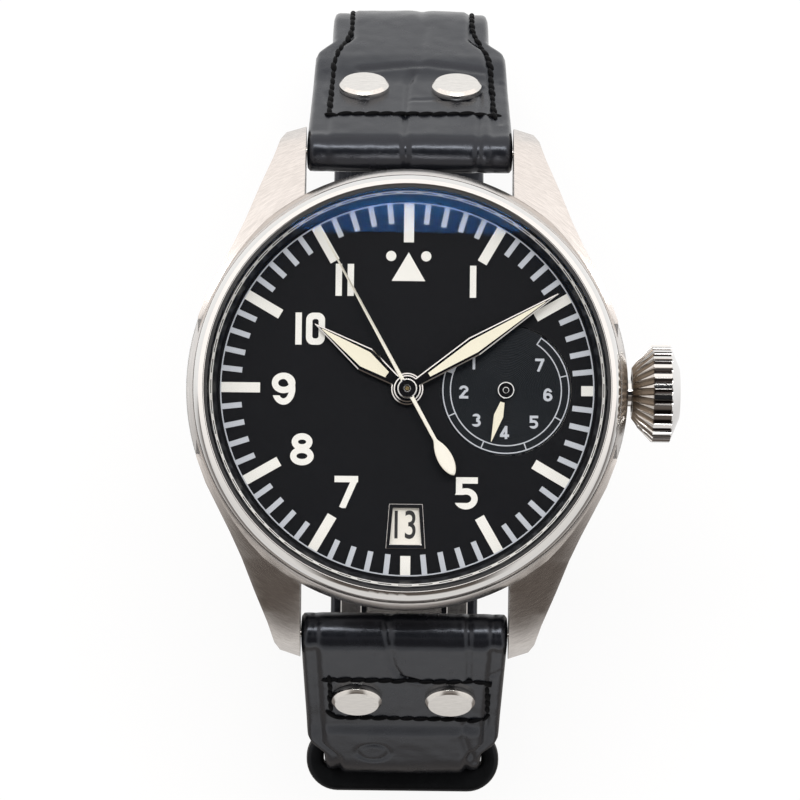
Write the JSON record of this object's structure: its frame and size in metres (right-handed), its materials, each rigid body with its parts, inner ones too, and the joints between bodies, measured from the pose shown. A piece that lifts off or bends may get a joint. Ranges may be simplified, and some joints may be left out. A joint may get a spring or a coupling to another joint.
{
  "type": "pilot wrist watch",
  "caption": "Large round steel pilot's watch with a black dial, big crown, power reserve and date, on a riveted leather strap closed by a folding clasp.",
  "frame": {"origin": "centre of the case back's flat outer face", "axes": "+Z out of the dial, +Y to twelve o'clock, +X to three o'clock and the crown"},
  "size_m": [0.0517, 0.0864, 0.06],
  "materials": {
    "satin_steel": "fine circular and straight satin brushing",
    "polished_steel": "mirror polished steel",
    "sapphire": "clear domed crystal with a faint blue coating",
    "black_rubber": "black rubber",
    "black_paint": "matte black lacquer",
    "subdial_black": "black with fine turned grooves",
    "soft_iron": "plain grey",
    "brass": "gilt brass",
    "nickel_plate": "rhodium-like plating with fine grain",
    "blued_steel": "blued steel",
    "date_white": "off-white print ground",
    "track_grey": "pale blue-grey print",
    "luminous": "off-white luminous paint",
    "hand_black": "gloss black with bright edges",
    "hand_luminous": "cream luminous fill",
    "hand_white": "white lacquer",
    "black_leather": "black alligator-grain leather",
    "keeper_leather": "smooth black leather",
    "rivet_steel": "polished rivet heads",
    "clasp_steel": "satin and polished steel"
  },
  "bodies": {
    "case": {"case_middle": "satin_steel", "bezel": "polished_steel", "crystal": "sapphire", "crystal_gasket": "black_rubber", "dial_flange": "black_paint", "case_back": "satin_steel", "case_back_gasket": "black_rubber", "iron_shield": "soft_iron", "crown_tube": "polished_steel", "movement_holder": "brass", "mainplate": "nickel_plate", "hairspring": "blued_steel", "barrel_bridge": "nickel_plate", "train_bridge": "nickel_plate", "balance_cock": "nickel_plate", "bridge_screws": "blued_steel", "rotor_bearing": "polished_steel", "dial": "black_paint", "subdial_disc": "subdial_black", "date_window_frame": "polished_steel", "minute_track": "track_grey", "hour_markers": "luminous", "dial_numerals": "luminous", "subdial_print": "track_grey", "spring_bar_upper": "polished_steel", "spring_bar_lower": "polished_steel"},
    "crown_slide": {"crown_gasket": "black_rubber"},
    "crown": {"crown": "polished_steel", "winding_stem": "polished_steel"},
    "barrel": {"barrel": "brass", "mainspring": "blued_steel"},
    "second_wheel": {"second_wheel": "brass"},
    "third_wheel": {"third_wheel": "brass"},
    "seconds": {"seconds_wheel": "brass", "seconds_hand": "hand_white"},
    "escape_wheel": {"escape_wheel": "polished_steel"},
    "pallet_fork": {"pallet_fork": "polished_steel"},
    "balance": {"balance_wheel": "brass"},
    "rotor": {"rotor": "nickel_plate", "rotor_screw": "blued_steel"},
    "minute": {"cannon_pinion": "polished_steel", "minute_hand": "hand_black", "minute_hand_lume": "hand_luminous"},
    "minute_wheel": {"minute_wheel": "brass"},
    "hour": {"hour_wheel": "brass", "hour_hand": "hand_black", "hour_hand_lume": "hand_luminous"},
    "date": {"date_ring": "date_white"},
    "reserve": {"reserve_arbor": "polished_steel", "reserve_hand": "hand_luminous"},
    "strap_upper": {"strap_upper": "black_leather", "strap_rivets_upper": "rivet_steel", "strap_end_pin": "polished_steel"},
    "strap_lower": {"strap_lower": "black_leather", "strap_rivets_lower": "rivet_steel", "clasp_cover": "clasp_steel"},
    "keeper": {"keeper": "keeper_leather"},
    "fold_blade": {"fold_blade": "clasp_steel"},
    "base_blade": {"base_blade": "clasp_steel", "fold_pin": "polished_steel"}
  },
  "joints": [
    {"name": "strap_lower_swing", "type": "hinge", "parent": "case", "child": "strap_lower", "pos_m": [0, -0.0256, 0.0026], "axis": [-1, 0, 0], "range_deg": [0, 30]},
    {"name": "strap_upper_swing", "type": "hinge", "parent": "case", "child": "strap_upper", "pos_m": [0, 0.0256, 0.0026], "axis": [1, 0, 0], "range_deg": [0, 30]},
    {"name": "fold_blade_hinge", "type": "hinge", "parent": "strap_lower", "child": "fold_blade", "pos_m": [0, 0.005, -0.0393], "axis": [-1, 0, 0], "range_deg": [0, 93.94]},
    {"name": "base_blade_hinge", "type": "hinge", "parent": "fold_blade", "child": "base_blade", "pos_m": [0, -0.025, -0.0381], "axis": [1, 0, 0], "range_deg": [0, 115.68]},
    {"name": "keeper_slide", "type": "slide", "parent": "strap_lower", "child": "keeper", "axis": [0, 0, 1], "range_m": [-0.0015, 0.0015]},
    {"name": "crown_pull", "type": "slide", "parent": "case", "child": "crown_slide", "axis": [1, 0, 0], "range_m": [0, 0.0015]},
    {"name": "crown_turn", "type": "hinge", "parent": "crown_slide", "child": "crown", "pos_m": [0.025, 0, 0.0065], "axis": [1, 0, 0], "continuous": true},
    {"name": "seconds_spin", "type": "hinge", "parent": "case", "child": "seconds", "pos_m": [0, 0, 0.0065], "axis": [0, 0, -1], "continuous": true},
    {"name": "third_wheel_spin", "type": "hinge", "parent": "case", "child": "third_wheel", "pos_m": [0.00035, 0.00404, 0.0065], "axis": [0, 0, -1], "continuous": true},
    {"name": "second_wheel_spin", "type": "hinge", "parent": "case", "child": "second_wheel", "pos_m": [-0.00305, 0.00629, 0.0065], "axis": [0, 0, -1], "continuous": true},
    {"name": "barrel_spin", "type": "hinge", "parent": "case", "child": "barrel", "pos_m": [-0.00881, 0.00739, 0.0065], "axis": [0, 0, -1], "continuous": true},
    {"name": "escape_wheel_spin", "type": "hinge", "parent": "case", "child": "escape_wheel", "pos_m": [0.00069, -0.0039, 0.0065], "axis": [0, 0, -1], "continuous": true},
    {"name": "pallet_fork_rock", "type": "hinge", "parent": "case", "child": "pallet_fork", "pos_m": [0.00119, -0.00657, 0.0065], "axis": [0, 0, -1], "range_deg": [-5, 5]},
    {"name": "balance_swing", "type": "hinge", "parent": "case", "child": "balance", "pos_m": [0.002, -0.01092, 0.0065], "axis": [0, 0, -1], "range_deg": [-150, 150], "stiffness_Nm_per_rad": 0.0000004},
    {"name": "minute_spin", "type": "hinge", "parent": "case", "child": "minute", "pos_m": [0, 0, 0.009], "axis": [0, 0, -1], "continuous": true},
    {"name": "minute_wheel_spin", "type": "hinge", "parent": "case", "child": "minute_wheel", "pos_m": [-0.00376, -0.00137, 0.009], "axis": [0, 0, -1], "continuous": true},
    {"name": "hour_spin", "type": "hinge", "parent": "case", "child": "hour", "pos_m": [0, 0, 0.009], "axis": [0, 0, -1], "continuous": true},
    {"name": "date_spin", "type": "hinge", "parent": "case", "child": "date", "pos_m": [0, 0, 0.009], "axis": [0, 0, -1], "continuous": true},
    {"name": "reserve_turn", "type": "hinge", "parent": "case", "child": "reserve", "pos_m": [0.0103, 0, 0.009], "axis": [0, 0, -1], "range_deg": [-162, 104]},
    {"name": "rotor_spin", "type": "hinge", "parent": "case", "child": "rotor", "pos_m": [0, 0, 0.003], "axis": [0, 0, -1], "continuous": true}
  ],
  "couplings": [
    {"joint": "strap_upper_swing", "follows": "strap_lower_swing", "ratio": 1},
    {"joint": "fold_blade_hinge", "follows": "strap_lower_swing", "ratio": 3.131},
    {"joint": "base_blade_hinge", "follows": "strap_lower_swing", "ratio": 3.8558},
    {"joint": "third_wheel_spin", "follows": "seconds_spin", "ratio": -0.125},
    {"joint": "second_wheel_spin", "follows": "seconds_spin", "ratio": 0.016667},
    {"joint": "barrel_spin", "follows": "seconds_spin", "ratio": -0.0025},
    {"joint": "escape_wheel_spin", "follows": "seconds_spin", "ratio": -10},
    {"joint": "minute_wheel_spin", "follows": "minute_spin", "ratio": -0.33333},
    {"joint": "hour_spin", "follows": "minute_spin", "ratio": 0.083333}
  ]
}
